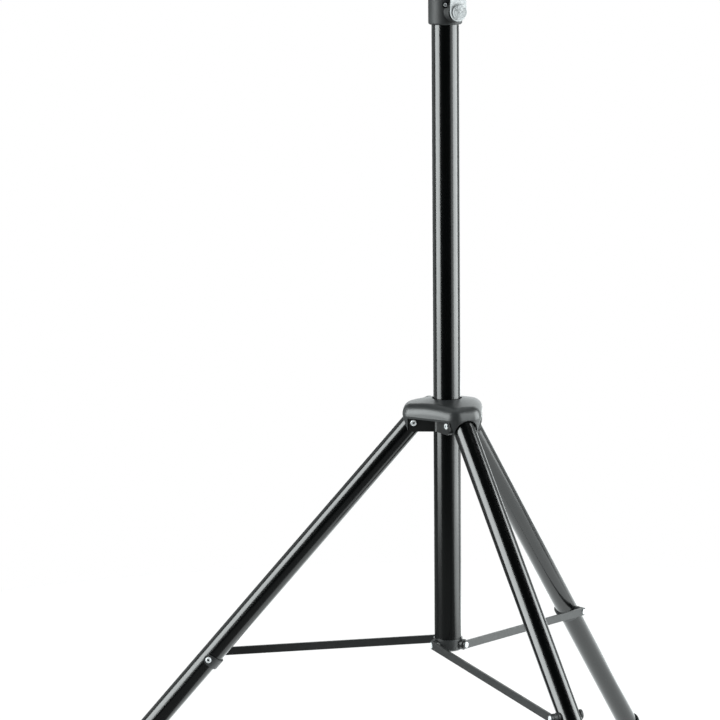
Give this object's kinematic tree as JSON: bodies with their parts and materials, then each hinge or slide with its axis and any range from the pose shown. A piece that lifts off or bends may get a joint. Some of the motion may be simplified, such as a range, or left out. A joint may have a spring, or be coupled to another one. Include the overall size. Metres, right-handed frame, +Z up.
{
  "type": "speaker stand",
  "caption": "Folding tripod speaker stand: gloss black mast on a sliding hub with tube legs and flat struts, telescoping pole with lever clamp and safety pin.",
  "frame": {"origin": "on the floor, on the mast's axis, at the centre of the circle of the three feet", "axes": "+Z up along the mast; the legs stand at 60, 180 and 300 degrees round +Z, so -X is along the left leg"},
  "size_m": [0.9239, 1.0616, 1.44],
  "materials": {
    "gloss_tube": "gloss black paint on steel tube",
    "dark_casting": "satin dark grey paint on die casting",
    "black_casting": "satin black glass-filled nylon",
    "black_plastic": "satin black moulded nylon",
    "grey_strut": "satin grey-black paint on flat steel",
    "zinc": "bright zinc plate",
    "silver_lever": "fine satin",
    "brass_pad": "machined",
    "rubber": "matt black rubber"
  },
  "bodies": {
    "mast": {"mast_tube": "gloss_tube", "base_casting": "dark_casting", "strut_pivot_rivets": "zinc", "top_collar": "dark_casting", "collar_screws": "zinc", "pole_bush": "black_plastic"},
    "hub": {"hub_casting": "black_casting", "hub_bush": "black_plastic", "hub_cover": "dark_casting", "leg_pivot_rivets": "zinc"},
    "lock_pad": {"lock_pad": "brass_pad"},
    "lock_knob": {"lock_screw": "zinc", "lock_knob": "black_plastic"},
    "pole": {"pole_tube": "gloss_tube", "pole_cap": "black_plastic", "pole_guide": "black_plastic"},
    "clamp_shoe": {"clamp_shoe": "brass_pad"},
    "clamp_lever": {"clamp_screw": "zinc", "clamp_lever": "silver_lever", "clamp_disc": "silver_lever"},
    "safety_pin": {"safety_pin": "zinc", "pin_grip": "black_plastic"},
    "rear_leg": {"rear_leg_tube": "gloss_tube", "rear_leg_plug": "black_plastic", "rear_leg_bracket": "black_casting", "rear_leg_rivet": "zinc", "rear_leg_foot": "rubber"},
    "rear_strut": {"rear_strut": "grey_strut", "rear_strut_rivet": "zinc"},
    "left_leg": {"left_leg_tube": "gloss_tube", "left_leg_plug": "black_plastic", "left_leg_bracket": "black_casting", "left_leg_rivet": "zinc", "left_leg_foot": "rubber"},
    "left_strut": {"left_strut": "grey_strut", "left_strut_rivet": "zinc"},
    "front_leg": {"front_leg_tube": "gloss_tube", "front_leg_plug": "black_plastic", "front_leg_bracket": "black_casting", "front_leg_rivet": "zinc", "front_leg_foot": "rubber"},
    "front_strut": {"front_strut": "grey_strut", "front_strut_rivet": "zinc"}
  },
  "joints": [
    {"name": "leg_fold", "type": "slide", "parent": "mast", "child": "hub", "axis": [0, 0, 1], "range_m": [0, 0.48945]},
    {"name": "rear_leg_hinge", "type": "hinge", "parent": "hub", "child": "rear_leg", "pos_m": [0.024, 0.04157, 0.632], "axis": [-0.866, 0.5, 0], "range_deg": [0, 40.51]},
    {"name": "rear_strut_hinge", "type": "hinge", "parent": "mast", "child": "rear_strut", "pos_m": [0.0015, 0.0026, 0.295], "axis": [0.866, -0.5, 0], "range_deg": [0, 86.63]},
    {"name": "left_leg_hinge", "type": "hinge", "parent": "hub", "child": "left_leg", "pos_m": [-0.048, 0, 0.632], "axis": [0, -1, 0], "range_deg": [0, 40.51]},
    {"name": "left_strut_hinge", "type": "hinge", "parent": "mast", "child": "left_strut", "pos_m": [-0.003, 0, 0.295], "axis": [0, 1, 0], "range_deg": [0, 86.63]},
    {"name": "front_leg_hinge", "type": "hinge", "parent": "hub", "child": "front_leg", "pos_m": [0.024, -0.04157, 0.632], "axis": [0.866, 0.5, 0], "range_deg": [0, 40.51]},
    {"name": "front_strut_hinge", "type": "hinge", "parent": "mast", "child": "front_strut", "pos_m": [0.0015, -0.0026, 0.295], "axis": [-0.866, -0.5, 0], "range_deg": [0, 86.63]},
    {"name": "lock_pad_slide", "type": "slide", "parent": "hub", "child": "lock_pad", "axis": [-0.5, 0.866, 0], "range_m": [0, 0.0019]},
    {"name": "lock_knob_turn", "type": "hinge", "parent": "lock_pad", "child": "lock_knob", "pos_m": [0, 0, 0.629], "axis": [-0.5, 0.866, 0], "range_deg": [0, 540]},
    {"name": "clamp_shoe_slide", "type": "slide", "parent": "mast", "child": "clamp_shoe", "axis": [0.5878, -0.809, 0], "range_m": [0, 0.0006]},
    {"name": "clamp_lever_turn", "type": "hinge", "parent": "clamp_shoe", "child": "clamp_lever", "pos_m": [0, 0, 1.23], "axis": [0.5878, -0.809, 0], "range_deg": [0, 120]},
    {"name": "pole_slide", "type": "slide", "parent": "mast", "child": "pole", "axis": [0, 0, 1], "range_m": [0, 0.8]},
    {"name": "safety_pin_pull", "type": "slide", "parent": "pole", "child": "safety_pin", "axis": [0.809, 0.5878, 0], "range_m": [0, 0.05]}
  ],
  "couplings": [
    {"joint": "rear_leg_hinge", "follows": "leg_fold", "rad_per_m": 1.4442},
    {"joint": "rear_strut_hinge", "follows": "leg_fold", "rad_per_m": 3.0887},
    {"joint": "left_leg_hinge", "follows": "leg_fold", "rad_per_m": 1.4442},
    {"joint": "left_strut_hinge", "follows": "leg_fold", "rad_per_m": 3.0887},
    {"joint": "front_leg_hinge", "follows": "leg_fold", "rad_per_m": 1.4442},
    {"joint": "front_strut_hinge", "follows": "leg_fold", "rad_per_m": 3.0887},
    {"joint": "lock_pad_slide", "follows": "lock_knob_turn", "m_per_rad": 0.00019894},
    {"joint": "clamp_shoe_slide", "follows": "clamp_lever_turn", "m_per_rad": 0.00023873}
  ]
}
